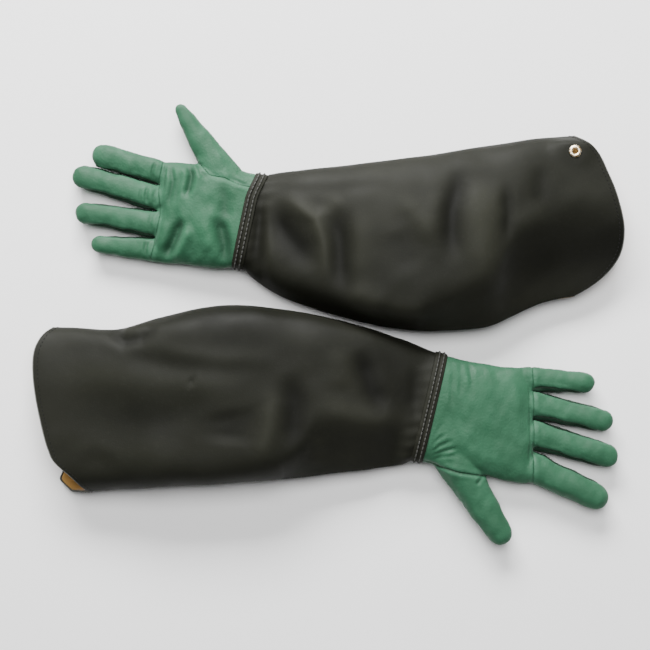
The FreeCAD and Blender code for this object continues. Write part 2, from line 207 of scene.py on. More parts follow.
def curve(points, x):
    """A smooth curve through (x, y) points in any order of x, without overshoot."""
    p = np.array(sorted(points), float)
    xs, ys = p[:, 0], p[:, 1]
    slope = np.diff(ys) / np.diff(xs)
    tangent = np.zeros(len(xs))
    tangent[1:-1] = np.where(slope[1:] * slope[:-1] > 0, (slope[1:] + slope[:-1]) / 2, 0)
    tangent[0], tangent[-1] = slope[0], slope[-1]
    x = np.clip(np.asarray(x, float), xs[0], xs[-1])
    i = np.clip(np.searchsorted(xs, x) - 1, 0, len(xs) - 2)
    h = xs[i + 1] - xs[i]
    t = (x - xs[i]) / h
    return (
        ys[i] * (1 + 2 * t) * (1 - t) ** 2
        + tangent[i] * h * t * (1 - t) ** 2
        + ys[i + 1] * t * t * (3 - 2 * t)
        + tangent[i + 1] * h * t * t * (t - 1)
    )


def heading(degrees):
    a = math.radians(degrees)
    return np.array([math.cos(a), math.sin(a), 0.0])


def across(direction):
    return np.array([-direction[1], direction[0], 0.0])


def new_object(name, verts, faces, material=None):
    mesh = bpy.data.meshes.new(name)
    mesh.from_pydata([tuple(v) for v in verts], [], [tuple(f) for f in faces])
    mesh.update()
    obj = bpy.data.objects.new(name, mesh)
    bpy.context.scene.collection.objects.link(obj)
    if material:
        mesh.materials.append(material)
    return obj


def shade_smooth(obj):
    obj.data.polygons.foreach_set("use_smooth", [True] * len(obj.data.polygons))


def mark(obj, name, values):
    """Stores one number for each vertex, for the materials."""
    layer = obj.data.attributes.new(name, "FLOAT", "POINT")
    layer.data.foreach_set("value", np.asarray(values, dtype=np.float32))


def apply_modifiers(obj):
    """The object's mesh with its modifiers applied."""
    graph = bpy.context.evaluated_depsgraph_get()
    mesh = bpy.data.meshes.new_from_object(obj.evaluated_get(graph))
    obj.modifiers.clear()
    obj.data = mesh


def thicken(obj, thickness):
    """Gives a shell its thickness in mm, on the inside."""
    solidify = obj.modifiers.new("thickness", "SOLIDIFY")
    solidify.thickness = thickness * MM
    solidify.offset = -1
    apply_modifiers(obj)
    shade_smooth(obj)


def grid_faces(rows, columns, looped=False):
    """Quads of a grid whose columns close on themselves, as its rows do where it is looped."""
    faces = []
    for i in range(rows if looped else rows - 1):
        for j in range(columns):
            k, m = (j + 1) % columns, (i + 1) % rows
            faces.append((i * columns + j, i * columns + k, m * columns + k, m * columns + j))
    return faces


def closed_tube(sections):
    """Vertices and faces of a tube through equal rings, capped at both ends."""
    rings, n = len(sections), len(sections[0])
    verts = np.concatenate(sections)
    faces = grid_faces(rings, n)
    faces.append(tuple(range(n))[::-1])
    faces.append(tuple(range((rings - 1) * n, rings * n)))
    return verts, faces


def joined(parts):
    """The vertices and faces of several meshes as one."""
    verts, faces, base = [], [], 0
    for part_verts, part_faces in parts:
        verts.append(part_verts)
        faces += [tuple(i + base for i in f) for f in part_faces]
        base += len(part_verts)
    return np.concatenate(verts), faces


def recalculate_normals(obj):
    bm = bmesh.new()
    bm.from_mesh(obj.data)
    bmesh.ops.recalc_face_normals(bm, faces=bm.faces)
    bm.to_mesh(obj.data)
    bm.free()


def superellipse(n, power, count):
    """Unit superellipse: x across, y up."""
    a = np.linspace(0, 2 * math.pi, count, endpoint=False)
    c, s = np.cos(a), np.sin(a)
    return np.sign(c) * np.abs(c) ** (2 / n), np.sign(s) * np.abs(s) ** (2 / power)


# ---- The leather hand ---------------------------------------------------------------------------


def keep_apart(ring, walls):
    """Points of a finger's ring, kept on its own side of the lines between it and its neighbours."""
    for point, normal, first in walls:
        reach = (ring - point) @ normal
        short = np.clip(1.15 - reach, 0, None) * smooth((ring[:, 0] - first) / 6)
        ring = ring + np.outer(short, normal)
    return ring


def finger_walls(g, finger):
    """The upright planes between a finger and its neighbours: point, normal towards it, first u."""
    walls = []
    i = FINGERS.index(finger)
    for j, sign in ((i - 1, 1), (i + 1, -1)):
        if 0 <= j < len(FINGERS):
            a, b = g["fingers"][FINGERS[min(i, j)]], g["fingers"][FINGERS[max(i, j)]]
            middle = (a[0] + a[3] / 2 + b[0] - b[3] / 2) / 2
            normal = across(heading((a[1] + b[1]) / 2)) * sign
            first = float(curve(g["web"], middle)) - 3
            walls.append((np.array([g["knuckles"], middle, 0.0]), normal, first))
    return walls


def stall_solid(root, direction, start, length, root_width, tip_width, swell=0.0, walls=(), tuck=0.0):
    """A closed finger: flattened, tapered, a little fuller over its joints, with a round tip."""
    side = across(direction)
    tip = tip_width / 2
    shoulder = length - tip
    round_end = shoulder + tip * np.sin(np.linspace(0.12, 1.5, 12))
    x = np.concatenate([np.linspace(start, shoulder, 40), round_end])
    taper = np.clip(x / shoulder, -0.35, 1)
    width = root_width + (tip_width - root_width) * taper
    joints = np.exp(-(((x / length) - 0.42) / 0.09) ** 2) + np.exp(-(((x / length) - 0.74) / 0.08) ** 2)
    width = width + swell * (joints - 0.5) * smooth(x / 12)
    round_off = np.sqrt(np.clip(1 - (np.clip(x - shoulder, 0, tip) / tip) ** 2, 0.0, 1))
    width = width * (1 - tuck * smooth(-x / 20))
    px, py = superellipse(2.15, 2.15, 40)
    sections = []
    for xi, wi, ri in zip(x, width, round_off):
        half = wi / 2 * max(ri, 0.04)
        centre = root + direction * xi
        ring = centre + np.outer(px * half, side)
        ring[:, 2] += py * half * FLATNESS * (1.0 + 0.06 * (1 - ri))
        sections.append(keep_apart(ring, walls))
    return closed_tube(sections)


def hand_solid(g):
    """The closed body of the hand, from under the wrist band to the roots of the fingers."""
    v0, v1, z0, z1 = g["wrist"]
    side = heading(90 + g["seam_tilt"])
    arm = heading(g["seam_tilt"])
    px, py = superellipse(2.7, 2.5, 72)
    stations = []
    for back in (18.0, 8.0, 0.0):
        ring = arm * -back + np.outer((v0 + v1) / 2 + px * (v1 - v0) / 2, side)
        ring[:, 2] = (z0 + z1) / 2 + py * (z1 - z0) / 2
        stations.append(ring)
    for u, e0, e1, h in g["hand"][:-1]:
        ring = np.zeros((len(px), 3))
        ring[:, 0] = u
        ring[:, 1] = (e0 + e1) / 2 + px * (e1 - e0) / 2
        ring[:, 2] = 0.4 + h / 2 + py * h / 2
        stations.append(ring)
    for back, shrink, h, z in ((15, 0.0, 28.0, 14.0), (6, 0.8, 24.0, 13.2), (0, 3.5, 13.0, 13.0)):
        e0, e1, _ = interpolate_row(g["hand"], g["knuckles"] - back)
        ring = np.zeros((len(px), 3))
        ring[:, 1] = (e0 + e1) / 2 + px * ((e1 - e0) / 2 - shrink)
        ring[:, 0] = curve(g["web"], ring[:, 1]) - back
        ring[:, 2] = z + 0.4 + py * h / 2
        stations.append(ring)
    stations = np.array(stations)
    t = np.arange(len(stations))
    fine = np.linspace(0, len(stations) - 1, 70)
    sections = np.empty((len(fine), len(px), 3))
    for j in range(len(px)):
        for k in range(3):
            sections[:, j, k] = curve(list(zip(t, stations[:, j, k])), fine)
    return closed_tube(list(sections))


def interpolate_row(rows, u):
    table = np.array(rows, float)
    return [float(np.interp(u, table[:, 0], table[:, k])) for k in range(1, table.shape[1])]


def hand_union(glove):
    """One smooth closed mesh of the whole hand, in the glove's frame."""
    g = GLOVES[glove]
    parts = [hand_solid(g)]
    for name, (v, angle, *sizes, _) in g["fingers"].items():
        root = np.array([g["knuckles"], v, FINGER_Z])
        full = [size + FULLER for size in sizes]
        parts.append(stall_solid(root, heading(angle), -24, *full, 0.9, finger_walls(g, name), 0.2))
    u, v, angle, *sizes = g["thumb"]
    full = [size + FULLER for size in sizes]
    parts.append(stall_solid(np.array([u, v, THUMB_Z]), heading(angle), -40, *full, 1.2))
    obj = new_object("hand_union", *joined(parts))
    remesh = obj.modifiers.new("remesh", "REMESH")
    remesh.mode = "VOXEL"
    remesh.voxel_size = VOXEL
    relax = obj.modifiers.new("relax", "SMOOTH")
    relax.factor = 0.5
    relax.iterations = 14
    apply_modifiers(obj)
    close_gaps(g, obj)
    return obj


def close_gaps(g, obj):
    """Brings the sides of fingers that touch nearer to the line between them."""
    co = np.array([v.co[:] for v in obj.data.vertices])
    for name in FINGERS[:-1]:
        point, normal, first = finger_walls(g, name)[-1]
        reach = (co - point) @ normal
        near = smooth((3.0 - np.abs(reach)) / 1.6) * smooth((co[:, 0] - first) / 6)
        co -= np.outer(0.5 * reach * near, normal)
    obj.data.vertices.foreach_set("co", co.astype(np.float32).ravel())


class Cutter:
    """Cuts a mesh along the zero lines of functions, and keeps a region number on each face."""

    def __init__(self, obj):
        self.bm = bmesh.new()
        self.bm.from_mesh(obj.data)
        self.region = self.bm.faces.layers.int.new("region")
        self.seam = set()

    def values(self, verts, function):
        co = np.array([v.co[:] for v in verts])
        return dict(zip(verts, function(co)))

    def cut(self, source, target, function, snap=0.15, seam=True):
        """Faces of region `source` where function > 0 become region `target`."""
        faces = [f for f in self.bm.faces if f[self.region] == source]
        verts = list({v for f in faces for v in f.verts})
        if not verts:
            return
        value = self.values(verts, function)
        for v in verts:
            if abs(value[v]) < snap:
                value[v] = 0.0
        edges = {e for f in faces for e in f.edges}
        for e in list(edges):
            a, b = e.verts
            if value[a] * value[b] < 0:
                share = value[a] / (value[a] - value[b])
                _, vert = bmesh.utils.edge_split(e, a, share)
                value[vert] = 0.0
        for f in faces:
            zero = [v for v in f.verts if value[v] == 0.0]
            if len(zero) < 2:
                continue
            signs = {np.sign(value[v]) for v in f.verts} - {0.0}
            if len(signs) < 2:
                continue
            a, b = zero[0], zero[-1]
            if not any(a in e.verts and b in e.verts for e in f.edges):
                bmesh.utils.face_split(f, a, b)
        for f in self.bm.faces:
            if f[self.region] == source:
                total = sum(value.get(v, 0.0) for v in f.verts)
                if total > 0:
                    f[self.region] = target
        if seam:
            self.seam.update(v for v in value if value[v] == 0.0)

    def seam_edges(self):
        return [
            e
            for e in self.bm.edges
            if len(e.link_faces) == 2 and e.link_faces[0][self.region] != e.link_faces[1][self.region]
        ]


def seam_distance(cutter, seam_edges):
    """Each vertex's distance to the nearest seam, in mm."""
    points = []
    for e in seam_edges:
        a, b = e.verts[0].co, e.verts[1].co
        points += [a, a.lerp(b, 0.25), a.lerp(b, 0.5), a.lerp(b, 0.75), b]
    tree = KDTree(len(points))
    for i, p in enumerate(points):
        tree.insert(p, i)
    tree.balance()
    return np.array([tree.find(v.co)[2] for v in cutter.bm.verts])


def line_distance(points, line):
    """Distance in plan to a polyline, and the share of the way along it."""
    best = np.full(len(points), 1e9)
    share = np.zeros(len(points))
    line = np.array(line, float)
    lengths = np.linalg.norm(np.diff(line, axis=0), axis=1)
    total, done = lengths.sum(), 0.0
    for a, b, length in zip(line, line[1:], lengths):
        d = b - a
        t = np.clip(((points - a) @ d) / max(length**2, 1e-9), 0, 1)
        gap = np.linalg.norm(points - (a + np.outer(t, d)), axis=1)
        nearer = gap < best
        best = np.where(nearer, gap, best)
        share = np.where(nearer, (done + t * length) / total, share)
        done += length
    return best, share


def crease(points, line, width, depth, ends=0.3, shoulders=0.25):
    """A soft groove (depth > 0) or ridge (depth < 0) along a line, with raised shoulders."""
    gap, share = line_distance(points[:, :2], line)
    envelope = smooth(share / ends) * smooth((1 - share) / ends) if ends > 0 else 1.0
    groove = np.exp(-((gap / width) ** 2))
    shoulder = np.exp(-(((gap - 1.9 * width) / (0.9 * width)) ** 2))
    return -depth * envelope * (groove - shoulders * shoulder)


def wave_noise(p, size, seed):
    """Smooth repeatable noise between about -1 and 1, from a few crossing waves."""
    rng = np.random.RandomState(seed)
    total = np.zeros(len(p))
    for _ in range(9):
        k = rng.normal(size=3)
        k = k / np.linalg.norm(k) * (2 * math.pi / size) * rng.uniform(0.6, 1.6)
        total += np.sin(p @ k + rng.uniform(0, 2 * math.pi))
    return total / 3.0


# Each crease is a line in plan, its half width and its depth.
HAND_CREASES = {
    "right": [
        ([(76, -58), (74, -40), (78, -22), (79, -12)], 2.6, 1.8),
        ([(81, -60), (82.5, -42), (84, -26)], 1.3, 0.8),
        ([(92, -60), (95, -48), (94, -38)], 1.5, 0.9),
        ([(58, -58), (55, -46), (58, -32), (63, -22)], 3.6, 3.2),
        ([(50, -60), (46, -48), (36, -40)], 2.6, 1.2),
        ([(66, -50), (70, -34), (74, -14)], 4.0, 1.4),
        ([(64, -4), (72, 16), (84, 40)], 5.0, 4.2),
        ([(56, 4), (62, 22), (70, 44)], 5.5, -1.8),
        ([(30, -6), (25, 12), (20, 28), (18, 46)], 7.0, 4.2),
        ([(12, 20), (9, 34), (10, 46)], 6.0, -1.6),
        ([(45, -18), (42, 6), (38, 34)], 12.0, -1.6),
        ([(27, -40), (21, -20), (24, 4)], 6.0, 1.4),
        ([(99, -36), (101, -26), (100, -16)], 1.7, 1.1),
        ([(91, -34), (93, -24), (92, -14)], 1.7, 1.0),
        ([(105, -34), (107, -25), (106, -17)], 1.6, 0.7),
        ([(100, 16), (102, 28), (100, 40)], 1.8, 1.0),
        ([(95, -10), (97, 2), (96, 12)], 1.8, 0.7),
        ([(18, -44), (4, -37), (-8, -33)], 2.0, 1.0),
    ],
    "left": [
        ([(-4, -48), (10, -38), (26, -31)], 1.9, 0.9),
        ([(-4, -50), (12, -44), (30, -39)], 1.7, 0.8),
        ([(-2, -52), (14, -49), (30, -47)], 1.9, 0.7),
        ([(-3, -45), (6, -33), (18, -24)], 1.7, 0.8),
        ([(0, -40), (5, -26), (12, -15)], 1.6, 0.5),
        ([(38, 46), (41, 34), (42, 18)], 2.6, 1.2),
        ([(22, 48), (22, 20), (20, -6)], 2.4, 0.6),
        ([(30, 50), (31, 30), (30, 8)], 2.0, 0.5),
        ([(99.6, 38), (100.4, -20), (99.6, -78)], 1.0, 0.75),
        ([(92, 34), (94, 0), (93, -40)], 4.5, 0.8),
        ([(46, -78), (50, -73), (54, -69)], 1.8, 1.2),
        ([(62, 40), (66, 12), (64, -30)], 7.0, 0.7),
        ([(116, 20), (132, 18), (150, 14)], 3.0, -0.5),
    ],
}


def along_arm(g, p):
    """How far a point is in front of the wrist seam, which bows back on the thumb side."""
    bow = g["bow"] * smooth((-20 - p[..., 1]) / 32)
    return p @ heading(g["seam_tilt"]) + bow


def finger_local(g, finger, p):
    v, angle, *_ = g["fingers"][finger]
    d = heading(angle)
    q = p - np.array([g["knuckles"], v, FINGER_Z])
    return q @ d, q @ across(d), q[:, 2]


def finger_seam(g, finger, p, upper):
    """Height above (upper) or below a finger's seam, positive on the front or back panel."""
    x, y, z = finger_local(g, finger, p)
    length, sides = g["fingers"][finger][2], g["fingers"][finger][5]
    half = FOURCHETTE_HALF * smooth((length - 5 - x) / 20) * smooth((x + 9) / 8)
    level = np.full(len(p), SEAM_RISE)
    shown = smooth((0.8 * length - x) / (0.55 * length)) * smooth((x + 6) / 8)
    for side in sides:
        above = half - 1.2
        if side == g["palm"]:
            above = half + (1.0 if g["palm"] > 0 else 3.2) * shown
        lift = above if upper else -half
        level = level + (lift - SEAM_RISE) * smooth((y * side) / 3.0) * (half > 1.3)
    return z - level


def thumb_seam(g, p):
    """Positive on the thumb's own leather."""
    lines = {}
    for key in ("thumb_seam_up", "thumb_seam_down"):
        line = g[key]
        end_u, end_v = line[-1]
        beyond = [(end_u + 12, end_v - 8), (end_u + 60, end_v - 40)]
        lines[key] = np.interp(p[:, 0], *np.array(line + beyond).T)
    share = smooth((p[:, 2] - 8) / 14)
    edge = lines["thumb_seam_down"] + (lines["thumb_seam_up"] - lines["thumb_seam_down"]) * share
    return edge - p[:, 1]


# Region numbers of the hand's faces. A finger's own is its front and back until it is cut further.
HAND, FINGER_GROUP, THUMB, BACK_HAND, BACK_THUMB, WRIST_END = 0, 1, 2, 20, 22, 99
FINGER_REGION = {"index": 11, "middle": 12, "ring": 13, "little": 14}
LOWER, THUMB_STRIP, LITTLE_STRIP = 20, 40, 60


def part_fingers(g, cutter):
    """Gives each finger its own region, up to the line midway to its neighbour."""
    roots = [g["fingers"][name] for name in FINGERS]
    for name, a, b in zip(FINGERS, roots, roots[1:]):
        between = (a[0] + a[3] / 2 + b[0] - b[3] / 2) / 2
        slope = math.tan(math.radians((a[1] + b[1]) / 2))

        def side(p, between=between, slope=slope):
            return between + slope * (p[:, 0] - g["knuckles"]) - p[:, 1]

        cutter.cut(FINGER_GROUP, FINGER_REGION[name], side, seam=False)
    for f in cutter.bm.faces:
        if f[cutter.region] == FINGER_GROUP:
            f[cutter.region] = FINGER_REGION["little"]


def cut_finger(g, cutter, name):
    """Cuts a finger into its upper and lower panels and the fourchettes between them."""
    base = FINGER_REGION[name]
    below, strip = base + LOWER, base + THUMB_STRIP
    cutter.cut(base, below, lambda p: -finger_seam(g, name, p, True))
    cutter.cut(below, strip, lambda p: finger_seam(g, name, p, False))
    for f in cutter.bm.faces:
        if f[cutter.region] == strip:
            centre = np.array([f.calc_center_median()[:]])
            y = finger_local(g, name, centre)[1][0]
            f[cutter.region] = strip if y < 0 else base + LITTLE_STRIP


def cut_panels(g, cutter):
    """Cuts the skin of the hand along its seams. Returns {region: panel}."""
    cutter.cut(HAND, WRIST_END, lambda p: -along_arm(g, p) - 4.0, seam=False)
    gone = [f for f in cutter.bm.faces if f[cutter.region] == WRIST_END]
    bmesh.ops.delete(cutter.bm, geom=gone, context="FACES")
    cutter.cut(HAND, FINGER_GROUP, lambda p: p[:, 0] - curve(g["base_seam"], p[:, 1]))
    part_fingers(g, cutter)
    cutter.cut(HAND, THUMB, lambda p: thumb_seam(g, p))
    rise = THUMB_Z + SEAM_RISE

    def side_seam(p):
        drop = (THUMB_Z - FINGER_Z) * smooth(p[:, 0] / g["knuckles"])
        return rise - drop - p[:, 2]

    cutter.cut(HAND, BACK_HAND, side_seam)
    cutter.cut(THUMB, BACK_THUMB, lambda p: rise - p[:, 2])
    up, down = ("front", "back") if g["palm"] > 0 else ("back", "front")
    panel = {"front": "palm_panel", "back": "back_panel"}
    regions = {HAND: panel[up], BACK_HAND: panel[down], THUMB: f"thumb_{up}", BACK_THUMB: f"thumb_{down}"}
    for name in FINGERS:
        cut_finger(g, cutter, name)
        base = FINGER_REGION[name]
        regions[base] = f"{name}_{up}"
        regions[base + LOWER] = f"{name}_{down}"
        regions[base + THUMB_STRIP] = f"{name}_fourchette_thumb_side"
        regions[base + LITTLE_STRIP] = f"{name}_fourchette_little_side"
    return regions


def leather_seams(g, cutter, regions):
    """The edges that are seams, and those among them that are pressed flatter."""
    stand_out = {THUMB, BACK_THUMB} if g["palm"] < 0 else set()
    edges, pressed = [], []
    for e in cutter.seam_edges():
        pair = {f[cutter.region] for f in e.link_faces}
        families = {regions.get(region, "").split("_")[0] for region in pair}
        if len(families) == 2 and families <= set(FINGERS):
            continue
        edges.append(e)
        if len(pair & {HAND, BACK_HAND}) == 1 and not pair & stand_out:
            pressed.append(e)
    return edges, pressed


def shape_leather(glove, cutter, regions):
    """The skin's points with seams, puckers, creases and soft waves, and the values of its marks."""
    g = GLOVES[glove]
    edges, pressed = leather_seams(g, cutter, regions)
    gap = seam_distance(cutter, edges)
    quiet = np.exp(-((seam_distance(cutter, pressed) / 4.0) ** 2))
    bm = cutter.bm
    bm.normal_update()
    co = np.array([v.co[:] for v in bm.verts])
    normal = np.array([v.normal[:] for v in bm.verts])
    groove = -0.8 * np.exp(-((gap / 1.15) ** 1.6)) + 0.35 * np.exp(-(((gap - 3.8) / 2.2) ** 2))
    groove *= 1 - 0.55 * quiet
    pucker = 0.2 * np.exp(-((gap / 5.0) ** 2)) * wave_noise(co, 7.0, 5)
    facing = smooth((normal[:, 2] - 0.15) / 0.5)
    deep = 1.15 if g["palm"] > 0 else 0.85
    folds = sum(crease(co, line, width, deep * depth) for line, width, depth in HAND_CREASES[glove]) * facing
    soft = 0.55 * wave_noise(co, 34.0, 11) + 0.22 * wave_noise(co, 13.0, 12)
    soft *= 0.5 + 0.5 * smooth(np.abs(normal[:, 2]) / 0.6)
    free = smooth((along_arm(g, co) - 5) / 12)
    moved = co + normal * (groove * (0.3 + 0.7 * free) + pucker + (folds + soft) * free)[:, None]
    moved[:, 2] = np.maximum(moved[:, 2], 0.3)
    # The fold mark drives the painted shade and highlight of the folds in the leather's colour.
    return moved, {"seam_gap": gap + 0.9 * quiet, "fold": folds * 1.3}


def leather_hand(glove, material, side_material):
    """All leather panels of one hand, as {node: object}."""
    union = hand_union(glove)
    cutter = Cutter(union)
    regions = cut_panels(GLOVES[glove], cutter)
    cutter.bm.verts.ensure_lookup_table()
    moved, marks = shape_leather(glove, cutter, regions)
    cutter.bm.verts.index_update()
    faces_of = {}
    for f in cutter.bm.faces:
        faces_of.setdefault(f[cutter.region], []).append([v.index for v in f.verts])
    made = {}
    for region, label in regions.items():
        if region not in faces_of:
            continue
        used = sorted({i for f in faces_of[region] for i in f})
        number = {old: new for new, old in enumerate(used)}
        faces = [[number[i] for i in f] for f in faces_of[region]]
        # The fourchettes take the darker copy of the leather: painted shade between the fingers.
        leather = side_material if "fourchette" in label else material
        obj = new_object(f"{glove}_{label}_leather", to_row(glove, moved[used]), faces, leather)
        for name, values in marks.items():
            mark(obj, name, values[used])
        thicken(obj, LEATHER)
        made[label] = obj
    cutter.bm.free()
    bpy.data.objects.remove(union)
    return made


# ---- Sleeve -------------------------------------------------------------------------------------

# Each fold is a line in plan, its half width and its height: a ridge above 0, a valley below.
FOLD_SPREAD = 1.35
FOLD_HEIGHT = 0.72
SLEEVE_FOLDS = {
    "right": [
        ([(-11, -34), (-12, 10), (-10, 62)], 6.0, -4.0),
        ([(-18, -28), (-22, 10), (-25, 64)], 5.0, 2.2),
        ([(-20, -16), (-36, 8), (-52, 28), (-64, 54)], 9.5, -6.0),
        ([(-30, -28), (-50, -14), (-70, 0), (-78, 24), (-80, 50), (-84, 74)], 5.5, 4.4),
        ([(-98, -22), (-84, -10), (-72, 0)], 6.0, 2.0),
        ([(-97, -20), (-93, 10), (-94, 44), (-97, 84)], 8.5, -5.0),
        ([(-110, -14), (-112, 30), (-108, 70)], 9.0, 2.0),
        ([(-96, 68), (-122, 82), (-146, 88)], 9.0, 3.2),
        ([(-132, 88), (-156, 94), (-182, 94)], 8.0, 2.6),
        ([(-146, 8), (-156, 34), (-166, 56)], 12.0, -2.4),
        ([(-12, -32), (-50, -29), (-100, -31), (-126, -34), (-156, -27)], 5.0, -1.0),
        ([(-146, -22), (-164, -9), (-175, 6), (-179, 30)], 7.0, 2.4),
        ([(-224, -56), (-211, -38), (-203, -10), (-202, 14), (-206, 48)], 7.5, -5.5),
        ([(-186, -30), (-184, 0), (-190, 30)], 9.0, 1.6),
        ([(-238, -44), (-234, 0), (-236, 74)], 13.0, 6.0),
        ([(-256, -40), (-259, -4), (-254, 30)], 4.5, -3.0),
        ([(-262, 14), (-284, -4), (-304, -6)], 9.0, 2.2),
        ([(-291, -56), (-292, -30), (-288, -8)], 6.0, -1.4),
        ([(-300, -12), (-330, -22), (-370, -20)], 10.0, 1.2),
        ([(-236, 92), (-272, 52), (-320, 34), (-470, 30)], 24.0, -4.6),
    ],
    "left": [
        ([(-326, 80), (-303, 68), (-288, 71), (-268, 84)], 5.5, -4.5),
        ([(-312, 78), (-294, 79), (-276, 88)], 6.0, 2.6),
        ([(-396, 57), (-330, 58), (-300, 54), (-262, 42), (-225, 37), (-180, 37), (-138, 38)], 6.5, -1.0),
        ([(-292, 66), (-250, 55), (-200, 49), (-160, 51), (-143, 62)], 6.5, 1.6),
        ([(-250, 76), (-190, 72), (-120, 64)], 16.0, -2.0),
        ([(-398, 28), (-330, 30), (-280, 25), (-225, 23), (-185, 21), (-158, 10)], 13.0, 3.2),
        ([(-320, 84), (-250, 90), (-190, 96), (-110, 84), (-30, 58)], 9.0, -2.6),
        ([(-238, 30), (-233, 24)], 3.5, -1.6),
        ([(-168, 22), (-157, 4), (-160, -20), (-166, -44), (-180, -62)], 8.0, 3.8),
        ([(-142, 38), (-134, 6), (-135, -20), (-133, -48)], 9.5, -5.0),
        ([(-203, 2), (-199, -16), (-201, -38)], 17.0, -3.0),
        ([(-318, -12), (-270, -14), (-236, -20)], 14.0, -1.6),
        ([(-375, -46), (-290, -47), (-220, -46)], 14.0, 2.6),
        ([(-122, 5), (-100, -1), (-80, -8), (-55, -12), (-14, -11)], 8.5, 2.6),
        ([(-110, -24), (-112, -42), (-114, -62)], 7.0, 1.8),
        ([(-72, 62), (-65, 40), (-58, 18), (-47, 0), (-38, -6)], 7.0, -4.2),
        ([(-66, 84), (-40, 36), (-14, -30)], 20.0, -3.6),
        ([(-92, 62), (-89, 36), (-92, 14)], 9.0, 1.8),
        ([(-14, 48), (-16, 10), (-19, -8)], 5.0, -1.4),
        ([(-150, -66), (-100, -56), (-50, -50)], 8.0, 1.2),
    ],
}


def wrist_ring(g, px, py, offset=0.0):
    """Points round the wrist, `offset` outside the leather, at the seam: across the arm, and height."""
    v0, v1, z0, z1 = g["wrist"]
    return (
        (v0 + v1) / 2 + px * ((v1 - v0) / 2 + offset),
        np.maximum((z0 + z1) / 2 + py * ((z1 - z0) / 2 + offset), 0.25),
    )


def place_on_arm(g, along, over, z):
    """A point `along` the arm from the seam, `over` across it, at height z."""
    back = g["bow"] * smooth((-20 - over) / 32)
    p = (along - back)[..., None] * heading(g["seam_tilt"]) + over[..., None] * heading(90 + g["seam_tilt"])
    p[..., 2] = z
    return p


def mouth_edge(glove, v, upper):
    """Where the sleeve ends at v; upper is 1 on the layer that faces up and 0 on the one below."""
    g = GLOVES[glove]
    edge = curve([(b, a) for a, b in g["mouth"]], v)
    if g["palm"] > 0:
        return edge
    return edge + 9.0 * upper * smooth((-48 - v) / 25) - 12.0 * (1 - upper) * smooth((-62 - v) / 14)


def sleeve_grid(glove, rows, columns):
    """Points of the sleeve's wall, rows from the wrist to the mouth."""
    g = GLOVES[glove]
    lean = -math.tan(math.radians(g["seam_tilt"]))
    px, py = superellipse(2.5, 2.3, columns)
    qx, qy = superellipse(2.7, 2.5, columns)
    flat = np.where(py < 0, -np.abs(py) ** 0.55, py)
    upper = smooth((py + 0.25) / 0.5)
    v, end = 60 * px, np.zeros(columns)
    for _ in range(8):
        end = mouth_edge(glove, v, upper)
        e0, e1 = curve(g["edge_thumb"], end), curve(g["edge_little"], end)
        v = (e0 + e1) / 2 + px * (e1 - e0) / 2
    over, ring_z = wrist_ring(g, qx, qy, 0.5)
    grid = np.zeros((rows, columns, 3))
    for i, t in enumerate(np.linspace(0, 1, rows) ** 1.12):
        base = -3.0 + (end + 3.0) * t
        u = base.copy()
        for _ in range(4):
            e0, e1 = curve(g["edge_thumb"], u), curve(g["edge_little"], u)
            vi = (e0 + e1) / 2 + px * (e1 - e0) / 2
            u = base + lean * (1 - smooth(t / 0.22)) * vi
        h = curve(g["height"], u)
        middle = 0.42 * h
        low = 2.0 * (1 - smooth(t / 0.12))
        light = np.sign(px) == -g["palm"]
        power = np.where(light, curve(g["light_side"], u), curve(g["dark_side"], u))
        crown = (1 - np.abs(px) ** power).clip(0) ** (1 / 2.3)
        z = middle + np.where(flat >= 0, (h - middle) * crown, (middle - low) * flat)
        crest = curve(g["crest"], u)
        away = (vi - crest) * g["palm"]
        room = np.maximum(np.abs(np.where(g["palm"] > 0, e1, e0) - crest), 8.0)
        fall = np.logaddexp(0, away / 6.0) * 6.0 / room
        lift = np.clip(z - middle, 0, None)
        slope = smooth((-base - 8) / 22)
        z = np.where(z > middle, middle + lift * (1 - 0.8 * slope * np.clip(fall, 0, 1)), z)
        loose = np.stack([u, vi, z], axis=-1)
        tight = place_on_arm(g, -3.0 + (base + 3.0) * 0.6, over, ring_z)
        k = smooth(t * rows / 9.0)
        grid[i] = tight + (loose - tight) * k
    return grid


def grid_normals(grid):
    du = np.gradient(grid, axis=0)
    dv = (np.roll(grid, -1, axis=1) - np.roll(grid, 1, axis=1)) / 2
    n = np.cross(du, dv)
    n /= np.maximum(np.linalg.norm(n, axis=2, keepdims=True), 1e-9)
    if np.sum(n * (grid - grid.mean(axis=1, keepdims=True))) < 0:
        n = -n
    return n


